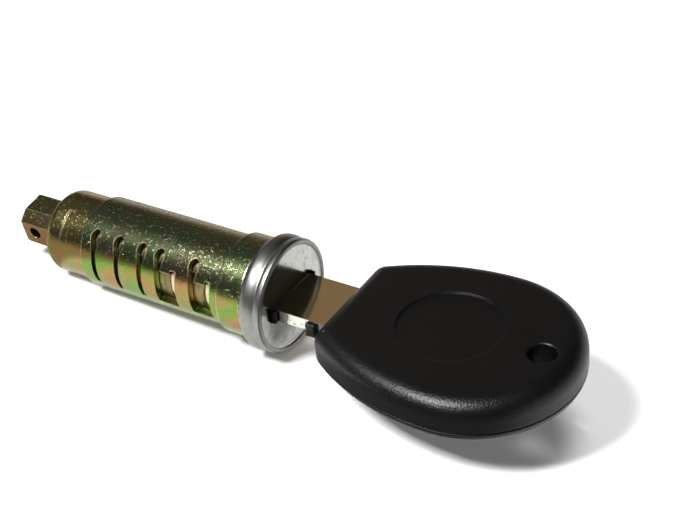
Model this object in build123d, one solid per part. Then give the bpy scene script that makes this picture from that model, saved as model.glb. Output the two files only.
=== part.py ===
from build123d import *
import os
from math import acos, cos, degrees, radians, sin

# Door lock cylinder with its key in place. Millimetres.
# The lock axis is X, towards the key, and Z is up. The origin is on the axis, at the rear
# shoulder of the sleeve's front collar, which is the face that seats in the door handle.
# Angles round the axis are counted upwards from the near side, which is -Y.
# What turns with the key is drawn level, with the blade's width along Y, and is then rolled
# by key_roll to the angle at which the lock lies.

# Sleeve: a turned steel tube with a front collar and a slimmer rear end
sleeve_r = 7.6
bore_r = 6.3
collar_r = 8.25
collar_length = 4.75
barrel_length = 28.0
rear_r = 7.05
rear_length = 8.6
rear_rounding = 1.8
rear_wall = 1.4
boss_hole_r = 3.65
edge_break = 0.3

# Slots through the sleeve, in two like rows on opposite sides
slit_width = 0.95
slit_centres = (-15.6, -20.35, -25.1)
window_slits = (-5.2, -12.0)
window_reach = 3.65
slot_low_angle = -30.0
head_angle = 32.5
head_half_width = 1.0
head_half_height = 1.35
head_taper = 1.1
head_flank_width = 0.86
head_flank_height = 0.68
window_top_angle = 14.5
window_low_angle = -33.0
notch_width = 1.1
notch_angle = 5.0
row_turn = 180.0

# Stakes that press the rear of the sleeve in
stake_length = 1.3
stake_depth = 0.3
stake_setback = 4.4
stake_low_angle = 13.0
stake_high_angle = 58.0

# Fits
running_clearance = 0.06
seat_clearance = 0.03
press_clearance = 0.01
face_clearance = 0.02
slide_clearance = 0.08
axial_gap = 0.15

# Key
key_roll = 9.5
blade_thickness = 2.1
shank_half = 5.2
ridge_half = 4.5
tip_half = 2.1
blade_tip_x = -28.0
bow_start_x = 19.1
shank_start_x = 0.3
cut_flat = 1.0
edge_merge = 0.05
far_cuts = (3.8, 3.6, 3.85, 3.7, 3.85, 3.6, 3.8)
near_cuts = (3.75, 3.85, 3.6, 3.8, 3.65, 3.85, 3.7)
wide_groove_width = 1.7
wide_groove_depth = 0.5
wide_groove_y = -1.4
thin_groove_width = 0.5
thin_groove_depth = 0.3
thin_groove_y = 1.1
groove_end_x = 6.4
groove_point = 1.8
groove_point_shift = 0.4
tang_half = 3.9
tang_length = 19.0
tang_hole_r = 1.6
tang_hole_setback = 4.0
tang_step = 1.0
tang_post_clearance = 0.05

# Wafers and their springs
wafer_thickness = 0.75
wafer_width = 8.2
wafer_travel = 0.6
pair_pitch = 2.3
spring_offset = 2.95
spring_coil_r = 0.72
spring_wire_r = 0.13
spring_turns = 4
spring_low = -2.5
spring_high = 1.5
notch_inner = 2.05

# Plug and the drive lug behind it
plug_end_wall = 2.3
neck_length = 0.8
tip_clearance = 0.4
ward_root = 0.2
boss_r = 3.6
spigot_r = 2.2
lug_half = 3.3
lug_corner = 0.8
lug_broad_corner = 2.0
lug_broad_drop = 1.4
lug_gap = 0.1
lug_length = 8.3
lug_end_break = 0.6
lug_toe_length = 2.1
lug_toe_height = 1.7
lug_roll = -18.0
eye_r = 1.15
eye_setback = 3.1
lug_pin_r = 0.75
lug_pin_setback = 4.0
spigot_length = 6.0
washer_thickness = 0.7
washer_clearance = 0.1
clutch_side_gap = 0.25
clutch_wire_r = 0.42
clutch_turns = 2.5

# Head: a metal cap over the black shutter housing
cap_r = 9.38
cap_length = 4.4
cap_back_bead_r = 9.5
cap_waist_setback = 1.35
cap_waist_depth = 0.2
cap_waist_back = 0.8
cap_waist_front = 0.4
cap_back_rounding = 1.3
cap_crown_rounding = 3.0
cap_waist_rounding = 0.5
cap_shoulder_rounding = 0.6
cap_front_rounding = 0.5
cap_lip = 0.2
cap_lip_rounding = 0.25
cap_dish_rounding = 0.3
cap_wall_r = 7.9
cap_face_thickness = 0.95
cap_dish = 0.35
cap_dish_r = 8.4
cap_slot_end = 0.75
cap_slot_break = 0.15
ear_length = 0.6
ear_stand = 0.95
ear_rounding = 0.45
hinge_drop = 2.35
flap_length = 3.5
flap_thickness = 0.5
flap_half = 5.6
flap_gap_half = 1.6
flap_gap_length = 1.3
flap_room = 0.1
flap_side_room = 0.15
flap_pocket_depth = 1.9
knuckle_r = 0.8
shutter_pin_r = 0.42
shutter_pin_seat = 0.8
shutter_wire_r = 0.12
shutter_turns = 3
shutter_spring_length = 2.8

# Key bow: two moulded shells round the blade's tang
bow_length = 38.9
bow_half_width = 16.6
shoulder_half = 9.6
shoulder_corner_r = 2.6
flank_r = 38.0
bow_half_thickness = 3.7
bow_rounding = 2.7
seam_level = -1.08
seam_groove_height = 0.25
seam_groove_depth = 0.3
stop_setback = 3.9
stop_length = 1.8
stop_reach = 0.7
stop_top = 0.75
stop_foot = 0.4
stop_rounding = 0.28
recess_r = 8.2
recess_depth = 0.3
recess_inset = 18.3
ring_hole_r = 2.15
ring_hole_setback = 5.7
ring_hole_rounding = 0.35

# How far a cutting body reaches past what it cuts
over = 1.0

plug_r = bore_r - running_clearance
keyway_half = shank_half + slide_clearance
keyway_half_height = blade_thickness / 2 + slide_clearance
barrel_rear_x = -barrel_length
sleeve_rear_x = -barrel_length - rear_length
cap_back_x = collar_length + axial_gap
cap_front_x = cap_back_x + cap_length
cap_face_x = cap_front_x - cap_dish
cap_inner_x = cap_face_x - cap_face_thickness
hinge_x = cap_inner_x - knuckle_r - running_clearance
boss_end_x = sleeve_rear_x - lug_gap / 2
plug_rear_x = blade_tip_x - plug_end_wall
lug_end_x = sleeve_rear_x - lug_gap - lug_length
eye_x = lug_end_x + eye_setback
lug_pin_x = boss_end_x + lug_pin_setback
spigot_end_x = boss_end_x + spigot_length
stake_x = sleeve_rear_x + stake_setback
bow_end_x = bow_start_x + bow_length
recess_x = bow_start_x + recess_inset
ring_hole_x = bow_end_x - ring_hole_setback
wafer_stations = sorted(
    [*slit_centres, *window_slits, *[x + pair_pitch for x in window_slits]], reverse=True
)


def at_angle(angle):
    """The plane through the axis that faces out at an angle, its own x along the lock."""
    out = (0, -cos(radians(angle)), sin(radians(angle)))
    return Plane(origin=(0, 0, 0), x_dir=(1, 0, 0), z_dir=out)


def block(x, y, z):
    """A box between the low and high ends given for each axis."""
    size = [high - low for low, high in (x, y, z)]
    middle = [(high + low) / 2 for low, high in (x, y, z)]
    return Pos(*middle) * Box(*size)


def turned(points, rounds=()):
    """A solid turned about the lock axis from a closed outline of (x, radius) points."""
    outline = make_face(Polyline(*points, close=True))
    for (x, r), radius in rounds:
        corner = outline.vertices().sort_by_distance((x, r, 0))[0]
        outline = fillet(corner, radius)
    return revolve(outline, Axis.X)


def rod(radius, x_low, x_high):
    """A plain round bar along the lock axis."""
    return turned([(x_low, 0), (x_high, 0), (x_high, radius), (x_low, radius)])


def ring_sector(x_low, x_high, r_low, r_high, low_angle, high_angle):
    """A stretch of a ring round the lock axis, between two angles."""
    corners = [(x_low, -r_low), (x_high, -r_low), (x_high, -r_high), (x_low, -r_high)]
    section = make_face(Polyline(*corners, close=True))
    section = Rot(X=-high_angle) * section
    return revolve(section, Axis.X, high_angle - low_angle)


def across(radius, x, z, low, high):
    """A round bar along the blade's width, between two places on that line."""
    bar = Cylinder(radius, high - low, align=(Align.CENTER, Align.CENTER, Align.MIN))
    return Pos(x, low, z) * Rot(X=-90) * bar


def upright(radius, x, y, low, high):
    """A round bar along the blade's thickness."""
    bar = Cylinder(radius, high - low, align=(Align.CENTER, Align.CENTER, Align.MIN))
    return Pos(x, y, low) * bar


def coil(wire_r, coil_r, length, turns):
    """A helical spring that starts at the origin and climbs along Z."""
    mean_r = coil_r - wire_r
    path = Helix(pitch=(length - 2 * wire_r) / turns, height=length - 2 * wire_r, radius=mean_r)
    start = Plane(origin=path @ 0, z_dir=path % 0)
    return Pos(0, 0, wire_r) * sweep(start * Circle(wire_r), path=path, is_frenet=True)


def slot_head(x):
    """The teardrop that ends a slit: an oval with a taper down to the slit's width."""
    taper_low = -head_half_height - head_taper
    oval = Ellipse(head_half_width, head_half_height)
    flank = [
        (-head_flank_width, -head_flank_height),
        (head_flank_width, -head_flank_height),
        (slit_width / 2, taper_low),
        (-slit_width / 2, taper_low),
    ]
    drop = oval + make_face(Polyline(*flank, close=True))
    return at_angle(head_angle) * Pos(x, 0, 0) * extrude(drop, sleeve_r + over)


def slit(x):
    """A narrow slit round the sleeve, from its round foot up into the teardrop."""
    half = slit_width / 2
    cut = ring_sector(x - half, x + half, bore_r - over, sleeve_r + over, slot_low_angle, head_angle)
    foot = at_angle(slot_low_angle) * Pos(x, 0, 0) * extrude(Circle(half), sleeve_r + over)
    return cut + foot + slot_head(x)


def window(x):
    """A slit that widens towards the key, with a small notch over its far top corner."""
    low = x - slit_width / 2
    high = x + window_reach
    reach = (bore_r - over, sleeve_r + over)
    pane = ring_sector(low, high, *reach, window_low_angle, window_top_angle)
    top = window_top_angle + notch_angle
    notch = ring_sector(high - notch_width, high, *reach, window_low_angle, top)
    return pane + notch + slit(x)


def make_sleeve():
    """The fixed tube: collar, slotted barrel and the slimmer, staked rear end."""
    rear = sleeve_rear_x
    body = turned(
        [
            (rear, boss_hole_r),
            (rear, rear_r),
            (barrel_rear_x, rear_r),
            (barrel_rear_x, sleeve_r),
            (0, sleeve_r),
            (0, collar_r),
            (collar_length, collar_r),
            (collar_length, bore_r),
            (rear + rear_wall, bore_r),
            (rear + rear_wall, boss_hole_r),
        ],
        [
            ((rear, rear_r), rear_rounding),
            ((barrel_rear_x, sleeve_r), edge_break),
            ((0, collar_r), edge_break),
            ((collar_length, collar_r), edge_break),
        ],
    )
    near_row = [window(x) for x in window_slits] + [slit(x) for x in slit_centres]
    half = stake_length / 2
    stake = ring_sector(
        stake_x - half, stake_x + half, rear_r - stake_depth, rear_r + over,
        stake_low_angle, stake_high_angle,
    )
    for cut in [*near_row, stake]:
        body -= cut
        body -= Rot(X=row_turn) * cut
    return body


def keyway(x_low, x_high, grow=0.0):
    """The slot that the blade fills, with play all round."""
    wide = keyway_half + grow
    high = keyway_half_height + grow
    return block((x_low, x_high), (-wide, wide), (-high, high))


def wards(x_low, x_high):
    """Ribs that stand in the blade's wide grooves, one on each face of the keyway."""
    reach = keyway_half_height + ward_root
    inner = blade_thickness / 2 - wide_groove_depth + slide_clearance
    half = wide_groove_width / 2 - slide_clearance
    y = (wide_groove_y - half, wide_groove_y + half)
    rib = block((x_low, x_high), y, (inner, reach))
    return rib + Rot(X=180) * rib


def wafer_side(index):
    """Which way a wafer's spring pushes it: -1 to the near side, +1 to the far side."""
    return -1 if index in (0, 1, 2, 3, 4) else 1


def turn_for(index):
    """The half turn about the axis that faces a wafer and its spring to the far side."""
    return Rot(X=0 if wafer_side(index) < 0 else 180)


def spring_pocket(x):
    """The drilled pocket that holds a wafer's spring against its floor in the plug."""
    radius = spring_coil_r + slide_clearance
    return across(radius, x, spring_offset, -plug_r - over, spring_high)


def make_wafer(x):
    """A flat wafer: round ends, a window for the blade and a side notch for its spring."""
    strip = Rectangle(2 * plug_r, wafer_width)
    bite_end = Circle(plug_r - slide_clearance)
    spring_end = Pos(-wafer_travel, 0) * bite_end
    plate = strip & bite_end & spring_end
    opening_half = ridge_half + slide_clearance
    plate -= Rectangle(2 * opening_half, 2 * (keyway_half_height + slide_clearance))
    notch_depth = wafer_width / 2 - notch_inner + over
    notch_run = spring_high + wafer_travel + slide_clearance - spring_low
    notch = Pos(spring_low + notch_run / 2, notch_inner + notch_depth / 2)
    plate -= notch * Rectangle(notch_run, notch_depth)
    face = Plane(origin=(x - wafer_thickness / 2, 0, 0), x_dir=(0, 1, 0), z_dir=(1, 0, 0))
    return extrude(face * plate, wafer_thickness)


def make_wafer_spring(x):
    """The small spring between a wafer's notch and the floor of its pocket."""
    length = spring_high - spring_low
    spring = coil(spring_wire_r, spring_coil_r, length, spring_turns)
    return Pos(x, spring_low, spring_offset) * Rot(X=-90) * spring


def make_plug():
    """The die-cast rotor: keyway with wards, wafer slots, spring pockets and rear boss."""
    plug = rod(plug_r, plug_rear_x, collar_length) + rod(boss_r, boss_end_x, plug_rear_x)
    plug += rod(cap_wall_r - seat_clearance, cap_back_x, cap_back_x + neck_length)
    plug += rod(plug_r, collar_length, cap_back_x)
    front = cap_back_x + neck_length + over
    plug -= keyway(blade_tip_x - tip_clearance, front)
    plug += wards(blade_tip_x - tip_clearance, collar_length)
    for index, x in enumerate(wafer_stations):
        half_t = wafer_thickness / 2 + slide_clearance
        half_w = wafer_width / 2 + slide_clearance
        plug -= block((x - half_t, x + half_t), (-plug_r - over, plug_r + over), (-half_w, half_w))
        plug -= turn_for(index) * spring_pocket(x)
    plug -= rod(spigot_r + seat_clearance, boss_end_x - over, spigot_end_x + seat_clearance)
    plug -= upright(lug_pin_r, lug_pin_x, 0, -boss_r - over, boss_r + over)
    plug -= flap_pocket(collar_length - flap_pocket_depth, front)
    return plug


def flap_pocket(x_low, x_high):
    """Room under the blade for the open flap and its small swing."""
    low = -hinge_drop - knuckle_r - flap_room
    wide = flap_half + flap_side_room
    return block((x_low, x_high), (-wide, wide), (low, 0))


def make_tail_lug():
    """The square drive lug: one broad flat, a cut-back toe, a cross eye and its spigot."""
    start = sleeve_rear_x - lug_gap
    outer = lug_half
    narrow = lug_half - lug_corner
    broad = lug_half - lug_broad_corner
    drop = lug_half - lug_broad_drop
    section = Polyline(
        (-outer, -narrow), (-narrow, -outer), (broad, -outer), (outer, -drop),
        (outer, narrow), (narrow, outer), (-broad, outer), (-outer, drop),
        close=True,
    )
    across_plane = Plane(origin=(start, 0, 0), x_dir=(0, 1, 0), z_dir=(1, 0, 0))
    lug = extrude(across_plane * make_face(section), -lug_length)
    end = lug.faces().sort_by(Axis.X)[0]
    lug = chamfer(end.edges(), lug_end_break)
    toe_x = lug_end_x + lug_toe_length
    toe_z = -outer + lug_toe_height
    side = Polyline(
        (start, -outer), (toe_x, -outer), (lug_end_x, toe_z), (lug_end_x, outer), (start, outer),
        close=True,
    )
    lug &= extrude(Plane.XZ * make_face(side), outer, both=True)
    lug -= across(eye_r, eye_x, 0, -lug_half - over, lug_half + over)
    spigot = rod(spigot_r, start - over, spigot_end_x)
    spigot -= upright(lug_pin_r, lug_pin_x, 0, -spigot_r - over, spigot_r + over)
    return Rot(X=-lug_roll) * lug + Rot(X=key_roll) * spigot


def make_clutch_spring():
    """The coil round the plug's boss that keeps the clutch washer pressed back."""
    low = sleeve_rear_x + rear_wall + washer_thickness
    length = plug_rear_x - low
    spring = coil(clutch_wire_r, bore_r - clutch_side_gap, length, clutch_turns)
    return Pos(low, 0, 0) * Rot(Y=90) * spring


def make_clutch_washer():
    """The ring that the clutch spring presses against the sleeve's rear wall."""
    low = sleeve_rear_x + rear_wall
    high = low + washer_thickness
    inner = boss_r + running_clearance
    outer = bore_r - washer_clearance
    return turned([(low, inner), (high, inner), (high, outer), (low, outer)])


def make_head_cap():
    """The metal cap: a fat rounded rim in two beads, a dished face and the key slot."""
    back = cap_back_x
    front = cap_front_x
    waist_x = front - cap_waist_setback
    waist_r = cap_r - cap_waist_depth
    lip_r = cap_dish_r + cap_lip
    cap = turned(
        [
            (back, cap_wall_r),
            (back, cap_back_bead_r),
            (waist_x - cap_waist_back, cap_back_bead_r),
            (waist_x, waist_r),
            (waist_x + cap_waist_front, cap_r),
            (front, cap_r),
            (front, lip_r),
            (cap_face_x, cap_dish_r),
            (cap_face_x, 0),
            (cap_inner_x, 0),
            (cap_inner_x, cap_wall_r),
        ],
        [
            ((back, cap_back_bead_r), cap_back_rounding),
            ((waist_x - cap_waist_back, cap_back_bead_r), cap_crown_rounding),
            ((waist_x, waist_r), cap_waist_rounding),
            ((waist_x + cap_waist_front, cap_r), cap_shoulder_rounding),
            ((front, cap_r), cap_front_rounding),
            ((front, lip_r), cap_lip_rounding),
            ((cap_face_x, cap_dish_r), cap_dish_rounding),
        ],
    )
    wide = keyway_half + cap_slot_end
    high = keyway_half_height
    cap -= block((cap_inner_x - over, front + over), (-wide, wide), (-high, high))
    straight = cap.edges().filter_by(GeomType.LINE)
    rims = [edge for edge in straight if abs(edge.center().X - cap_face_x) < 1e-6]
    return chamfer(rims, cap_slot_break)


def make_shutter_housing():
    """The black moulding inside the cap, with two ears that fill the slot's ends."""
    back = cap_back_x + neck_length + face_clearance
    front = cap_inner_x - face_clearance
    disc = rod(cap_wall_r - seat_clearance, back, front)
    outer = keyway_half + cap_slot_end - seat_clearance
    inner = outer - ear_length
    high = keyway_half_height - seat_clearance
    ears = block((back, cap_face_x + ear_stand), (-outer, outer), (-high, high))
    ears -= block((back - over, cap_front_x + over), (-inner, inner), (-high, high))
    ends = ears.edges().filter_by(Axis.Z)
    ears = fillet([e for e in ends if e.center().X > cap_face_x and abs(e.center().Y) > inner], ear_rounding)
    housing = disc + ears - keyway(back - over, front)
    housing -= flap_pocket(back - over, front + over)
    pin_half = flap_half + shutter_pin_seat
    return housing - across(shutter_pin_r, hinge_x, -hinge_drop, -pin_half, pin_half)


def knuckle(low, high):
    """One of the flap's two round ears, bored for the pin."""
    outer = across(knuckle_r, hinge_x, -hinge_drop, low, high)
    bore_here = shutter_pin_r + running_clearance
    return outer - across(bore_here, hinge_x, -hinge_drop, low - over, high + over)


def make_shutter():
    """The dust flap, held open by the blade: it lies along the blade's lower face."""
    top = -keyway_half_height - face_clearance
    plate = block(
        (hinge_x - flap_length, hinge_x), (-flap_half, flap_half), (top - flap_thickness, top)
    )
    gap = flap_gap_half
    plate -= block((hinge_x - flap_gap_length, hinge_x + over), (-gap, gap), (top - over, top))
    hollow = across(knuckle_r - face_clearance, hinge_x, -hinge_drop, -flap_half, flap_half)
    ears = knuckle(-flap_half, -gap) + knuckle(gap, flap_half)
    plate -= hollow
    return plate + ears


def make_shutter_pin():
    """The flap's hinge pin, pressed into the housing at both ends."""
    half = flap_half + shutter_pin_seat
    return across(shutter_pin_r, hinge_x, -hinge_drop, -half, half)


def make_shutter_spring():
    """The coil between the flap's ears that swings it shut behind the key."""
    length = shutter_spring_length
    coil_r = shutter_pin_r + slide_clearance + 2 * shutter_wire_r
    spring = coil(shutter_wire_r, coil_r, length, shutter_turns)
    return Pos(hinge_x, -length / 2, -hinge_drop) * Rot(X=-90) * spring


def make_lug_pin():
    """The pin that ties the drive lug's spigot to the plug's boss."""
    end = boss_r - running_clearance
    return upright(lug_pin_r - press_clearance, lug_pin_x, 0, -end, end)


def cut_edge(heights):
    """One edge of the blade from tip to shank: a flat for each wafer, slopes to the ridges."""
    points = [(blade_tip_x, tip_half)]
    points.append((blade_tip_x + ridge_half - tip_half, ridge_half))
    stations = list(zip(reversed(wafer_stations), reversed(heights)))
    for x, height in stations:
        rise = ridge_half - height
        half = cut_flat / 2
        points += [(x - half - rise, ridge_half), (x - half, height)]
        points += [(x + half, height), (x + half + rise, ridge_half)]
    return points


def merge_ridges(points):
    """Drops a ridge that two neighbouring slopes leave no room for."""
    kept = []
    for x, height in points:
        while kept and kept[-1][0] > x - edge_merge:
            kept.pop()
        kept.append((x, height))
    return kept


def make_key_blade():
    """The flat steel blade: cut edges, two grooves a side, plain shank and hidden tang."""
    far = merge_ridges(cut_edge(far_cuts))
    near = merge_ridges(cut_edge(near_cuts))
    rise = shank_half - ridge_half
    shank = [(shank_start_x, ridge_half), (shank_start_x + rise, shank_half)]
    shank.append((bow_start_x + tang_step, shank_half))
    tang = [(bow_start_x + tang_step, tang_half), (bow_start_x + tang_length, tang_half)]
    side = far + shank + tang
    other = [(x, -y) for x, y in reversed(near + shank + tang)]
    outline = make_face(Polyline(*side, *other, close=True))
    outline -= Pos(bow_start_x + tang_length - tang_hole_setback, 0) * Circle(tang_hole_r)
    half = blade_thickness / 2
    blade = extrude(Pos(0, 0, -half) * outline, blade_thickness)
    for turn in (0, 180):
        blade -= Rot(X=turn) * wide_groove()
        blade -= Rot(X=turn) * thin_groove()
    return blade


def wide_groove():
    """The milled groove that ends in a point before the shank."""
    half = wide_groove_width / 2
    y = wide_groove_y
    end = groove_end_x
    points = [
        (blade_tip_x - over, y - half), (end - groove_point, y - half),
        (end, y - half + groove_point_shift), (end - groove_point / 2, y + half),
        (blade_tip_x - over, y + half),
    ]
    floor = blade_thickness / 2 - wide_groove_depth
    return extrude(Pos(0, 0, floor) * make_face(Polyline(*points, close=True)), over)


def thin_groove():
    """The fine groove beside the wide one."""
    half = thin_groove_width / 2
    floor = blade_thickness / 2 - thin_groove_depth
    y = (thin_groove_y - half, thin_groove_y + half)
    return block((blade_tip_x - over, groove_end_x - groove_point), y, (floor, floor + over))


def bow_outline():
    """The bow seen from above: a straight shoulder, two long flanks and a full round end."""
    centre = Vector(bow_end_x - bow_half_width, 0)
    corner = Vector(bow_start_x, shoulder_half)
    # each flank arc meets the round end smoothly, so its centre lies on the line through both
    gap = flank_r - bow_half_width
    reach = (corner - centre).length
    turn = degrees(acos((gap**2 + reach**2 - flank_r**2) / (2 * gap * reach)))
    away = (corner - centre).normalized().rotate(Axis.Z, turn)
    flank_centre = centre + away * gap
    join = centre - away * bow_half_width
    half_way = (join - flank_centre).normalized() + (corner - flank_centre).normalized()
    middle = flank_centre + half_way.normalized() * flank_r
    tip = (bow_end_x, 0)
    below = [(p.X, -p.Y) for p in (corner, middle, join)]
    outline = make_face([
        Line(below[0], corner),
        ThreePointArc(corner, middle, join),
        ThreePointArc(join, tip, below[2]),
        ThreePointArc(below[2], below[1], below[0]),
    ])
    return fillet(outline.vertices().sort_by(Axis.X)[:2], shoulder_corner_r)


def bow_pillow():
    """The whole bow before it is parted: rounded all round, with both recesses."""
    half = bow_half_thickness
    pillow = extrude(Pos(0, 0, -half) * bow_outline(), 2 * half)
    rims = [e for e in pillow.edges() if abs(abs(e.center().Z) - half) < 1e-6]
    pillow = fillet(rims, bow_rounding)
    for turn in (0, 180):
        pillow -= Rot(X=turn) * upright(recess_r, recess_x, 0, half - recess_depth, half)
    pillow -= upright(ring_hole_r, ring_hole_x, 0, -half - over, half + over)
    rims = [
        e for e in pillow.edges().filter_by(GeomType.CIRCLE)
        if abs(e.radius - ring_hole_r) < 1e-6 and abs(abs(e.center().Z) - half) < 1e-3
    ]
    return fillet(rims, ring_hole_rounding)


def tang_pocket():
    """The space in the upper shell for the blade's tang, round its locating post."""
    top = blade_thickness / 2 + seat_clearance
    depth = (seam_level - over, top)
    end = bow_start_x + tang_length + seat_clearance
    step = bow_start_x + tang_step + seat_clearance
    wide = shank_half + seat_clearance
    narrow = tang_half + seat_clearance
    room = block((bow_start_x - over, step), (-wide, wide), depth)
    room += block((bow_start_x, end), (-narrow, narrow), depth)
    post_x = bow_start_x + tang_length - tang_hole_setback
    return room - upright(tang_hole_r - tang_post_clearance, post_x, 0, *depth)


def seam_groove():
    """The shallow groove that runs round the rim under the seam between the shells."""
    core = offset(bow_outline(), -seam_groove_depth)
    zone = block(
        (bow_start_x - over, bow_end_x + over), (-bow_half_width - over, bow_half_width + over),
        (seam_level - seam_groove_height, seam_level + over),
    )
    return zone - extrude(Pos(0, 0, seam_level - over) * core, 2 * over + over)


def make_key_bow_upper(pillow):
    """The upper shell, which holds the tang."""
    wide = (-bow_half_width, bow_half_width)
    keep = block((bow_start_x, bow_end_x), wide, (seam_level, bow_half_thickness))
    return (pillow & keep) - tang_pocket()


def make_key_bow_lower(pillow):
    """The lower shell, which closes the tang in, with the small stop beside the blade."""
    wide = (-bow_half_width, bow_half_width)
    keep = block((bow_start_x, bow_end_x), wide, (-bow_half_thickness, seam_level))
    shell = (pillow & keep) - seam_groove()
    y_out = -shank_half - stop_reach
    stop_low = bow_start_x - stop_setback
    y_in = -shank_half + stop_reach
    foot = seam_level - stop_foot
    tongue = block((stop_low, bow_start_x + over), (y_out, y_in), (foot, seam_level))
    side = (y_out, -shank_half - seat_clearance)
    stop = block((stop_low, stop_low + stop_length), side, (foot, stop_top))
    outer = [e for e in stop.edges() if e.center().Y < y_out + 1e-6 or e.center().Z > stop_top - 1e-6]
    stop = fillet(outer, stop_rounding)
    return shell + tongue + stop


def save(name, solid, roll=0.0):
    """Turns a piece to the angle at which the lock lies and writes it."""
    placed = Rot(X=roll) * solid
    export_step(placed, f"parts/{name}.step")
    print(f"{name:20s} {placed.volume:9.1f} mm3")


os.makedirs("parts", exist_ok=True)
save("sleeve", make_sleeve())
save("clutch_washer", make_clutch_washer())
save("clutch_spring", make_clutch_spring())
save("tail_lug", make_tail_lug())
save("plug", make_plug(), key_roll)
save("lug_pin", make_lug_pin(), key_roll)
save("head_cap", make_head_cap(), key_roll)
save("shutter_housing", make_shutter_housing(), key_roll)
save("shutter", make_shutter(), key_roll)
save("shutter_pin", make_shutter_pin(), key_roll)
save("shutter_spring", make_shutter_spring(), key_roll)
save("key_blade", make_key_blade(), key_roll)
for number, station in enumerate(wafer_stations, start=1):
    side = turn_for(number - 1)
    save(f"wafer_{number}", side * make_wafer(station), key_roll)
    save(f"wafer_spring_{number}", side * make_wafer_spring(station), key_roll)
whole_bow = bow_pillow()
save("key_bow_upper", make_key_bow_upper(whole_bow), key_roll)
save("key_bow_lower", make_key_bow_lower(whole_bow), key_roll)
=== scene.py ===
# %% [markdown]
# # A door lock cylinder with its key
# The shapes come from the imported model: every tube, wafer and shell is already there, at its
# real size in metres, with the lock's axis along X. This lesson gives them their finishes and
# lights them as in a small photo tent. Nothing new is modelled, because what is left to add is
# finer than a solid can hold: speckle, scratches, grain, dust, and a patch of painted shade.

# %% Load the frame
import math

import bpy
import numpy as np
from mathutils import Matrix, Vector


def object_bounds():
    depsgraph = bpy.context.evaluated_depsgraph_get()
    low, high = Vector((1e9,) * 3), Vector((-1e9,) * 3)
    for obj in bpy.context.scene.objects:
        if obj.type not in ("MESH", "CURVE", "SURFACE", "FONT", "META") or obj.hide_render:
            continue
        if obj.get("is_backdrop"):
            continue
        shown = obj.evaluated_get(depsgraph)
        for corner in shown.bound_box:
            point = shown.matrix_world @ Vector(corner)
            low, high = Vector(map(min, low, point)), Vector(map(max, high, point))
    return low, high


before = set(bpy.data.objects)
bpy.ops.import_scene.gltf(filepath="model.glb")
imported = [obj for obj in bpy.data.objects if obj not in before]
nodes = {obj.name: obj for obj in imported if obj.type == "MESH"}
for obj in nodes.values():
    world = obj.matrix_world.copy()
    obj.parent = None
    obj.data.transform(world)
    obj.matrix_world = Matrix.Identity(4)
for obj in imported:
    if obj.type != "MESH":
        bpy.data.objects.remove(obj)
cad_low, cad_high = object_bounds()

MM = 0.001
size_mm = [round((high - low) / MM, 1) for low, high in zip(cad_low, cad_high)]
print("nodes:", len(nodes), "size in mm:", size_mm)

# %% [markdown]
# ## The camera
# A photograph can be matched once the camera's distance and lens are known. They could be
# found by trying, but the head's round rim fixes both: its circles look like ellipses, and
# their shapes say how steeply and from how far they are seen. Azimuth turns round the upright,
# elevation is above the horizon. From a point on the axis near the head the camera goes back,
# then a little right and up, which puts that point left of the picture's middle and below it.

# %% Set the camera
AZIMUTH, ELEVATION = math.radians(32.005), math.radians(27.263)
AIM = Vector((9.3, 0.0, 0.0)) * MM
BACK_STEP, RIGHT_STEP, UP_STEP = 235.8 * MM, 7.337 * MM, 6.538 * MM
FOCAL_PIXELS, PHOTO_WIDTH = 1500.0, 680.0
SENSOR_WIDTH_MM = 36.0
NEAREST_SEEN = 0.01

back = Vector((
    math.sin(AZIMUTH) * math.cos(ELEVATION),
    -math.cos(AZIMUTH) * math.cos(ELEVATION),
    math.sin(ELEVATION),
))
right = Vector((math.cos(AZIMUTH), math.sin(AZIMUTH), 0.0))
up = back.cross(right)
lens = bpy.data.cameras.new("camera")
lens.sensor_width = SENSOR_WIDTH_MM
lens.lens = SENSOR_WIDTH_MM * FOCAL_PIXELS / PHOTO_WIDTH
lens.clip_start = NEAREST_SEEN
camera = bpy.data.objects.new("camera", lens)
camera.matrix_world = Matrix.Translation(
    AIM + back * BACK_STEP + right * RIGHT_STEP + up * UP_STEP
) @ Matrix((right, up, back)).transposed().to_4x4()
bpy.context.scene.collection.objects.link(camera)
bpy.context.scene.camera = camera
bpy.context.scene.view_settings.view_transform = "Standard"
print("lens in mm:", round(lens.lens, 1))

# %% [markdown]
# ## Small helpers for materials
# A finish is a handful of nodes wired into one Principled shader. Wired by hand, each node
# takes four or five lines, so these helpers shorten the wiring: make a node, join two sockets,
# do one step of arithmetic, mix, and give a colour ramp its stops. Wherever a helper takes a
# value, another node's socket does as well.

# %% Nodes and links
def new_node(tree, kind, label, **settings):
    """A shader node with its properties set by name."""
    node = tree.nodes.new(kind)
    node.label = label
    for name, value in settings.items():
        setattr(node, name, value)
    return node


def feed(tree, source, target):
    """Joins a value, a colour (red, green, blue) or another node's socket to an input."""
    if isinstance(source, bpy.types.NodeSocket):
        tree.links.new(source, target)
    elif target.type == "RGBA":
        target.default_value = (*source, 1.0)
    else:
        target.default_value = source


print("Blender", bpy.app.version_string, "has", len(bpy.data.materials), "materials so far")

# %% Arithmetic on values and vectors
def math_node(tree, operation, a, b=0.0):
    """One arithmetic step on values."""
    node = new_node(tree, "ShaderNodeMath", operation.lower(), operation=operation)
    feed(tree, a, node.inputs[0])
    feed(tree, b, node.inputs[1])
    return node.outputs[0]


def times(tree, a, b):
    """Value a times value b; for masks, where both are 1."""
    return math_node(tree, "MULTIPLY", a, b)


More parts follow.
